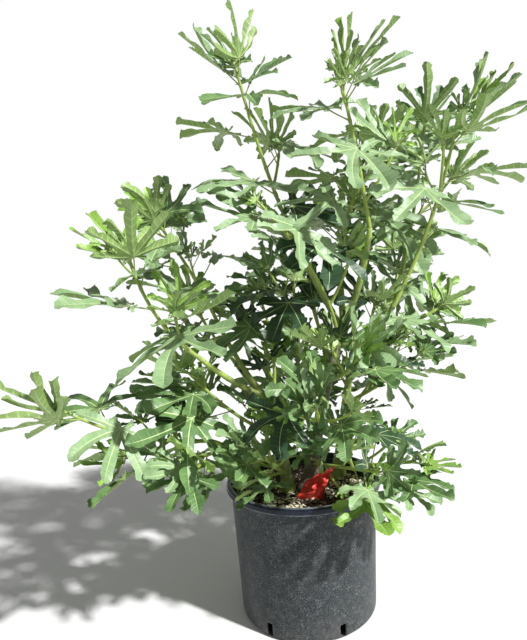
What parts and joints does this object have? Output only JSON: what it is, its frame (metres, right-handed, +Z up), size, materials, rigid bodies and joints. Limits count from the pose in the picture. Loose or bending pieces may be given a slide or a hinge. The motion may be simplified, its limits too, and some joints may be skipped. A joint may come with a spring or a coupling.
{
  "type": "fig tree in a pot",
  "caption": "Young fig tree with several stems, long canes and deeply lobed leaves, growing in a round black plastic nursery pot.",
  "frame": {"origin": "centre of the pot's flat underside, on the surface that the pot stands on", "axes": "+Z up, the height of the plant; +X to the right and -Y towards the front, the side that the longest low shoot leaves to the left of"},
  "size_m": [1.1601, 0.762, 1.3407],
  "materials": {
    "pot_plastic": "scuffed satin black plastic with pale dust",
    "potting_mix": "dark potting mix with pale chips and straw",
    "tag_plastic": "creased blank red plastic",
    "bark": "smooth grey-brown bark, greener towards the tips",
    "foliage": "matt green leaves with pale veins on yellow-green stalks"
  },
  "bodies": {
    "root": {"pot": "pot_plastic", "potting_soil": "potting_mix", "blank_tag": "tag_plastic", "trunk": "bark", "stem_left": "bark", "stem_right": "bark", "bough_upper_left": "bark", "bough_middle": "bark", "bough_centre_back": "bark", "bough_right_back": "bark", "bough_right": "bark", "bough_left": "bark", "bough_left_back": "bark", "bough_low_left": "bark", "bough_back": "bark", "bough_back_right": "bark", "bough_back_left": "bark", "leaves_top_left": "foliage", "leaves_top_middle": "foliage", "leaves_centre_back": "foliage", "leaves_right_back": "foliage", "leaves_right": "foliage", "leaves_left": "foliage", "leaves_left_back": "foliage", "leaves_low_left": "foliage", "leaves_low_right": "foliage", "leaves_front": "foliage", "leaves_middle_right": "foliage", "leaves_middle_left": "foliage", "leaves_centre_left": "foliage", "leaves_inner_left": "foliage", "leaves_lower_left": "foliage", "leaves_foot_left": "foliage", "leaves_foot_right": "foliage", "leaves_lower_right": "foliage", "leaves_centre_front": "foliage", "leaves_back": "foliage", "leaves_back_right": "foliage", "leaves_back_centre": "foliage", "leaves_back_left": "foliage", "leaves_low_back_right": "foliage", "leaves_low_back": "foliage", "leaves_under_left": "foliage"}
  },
  "joints": []
}
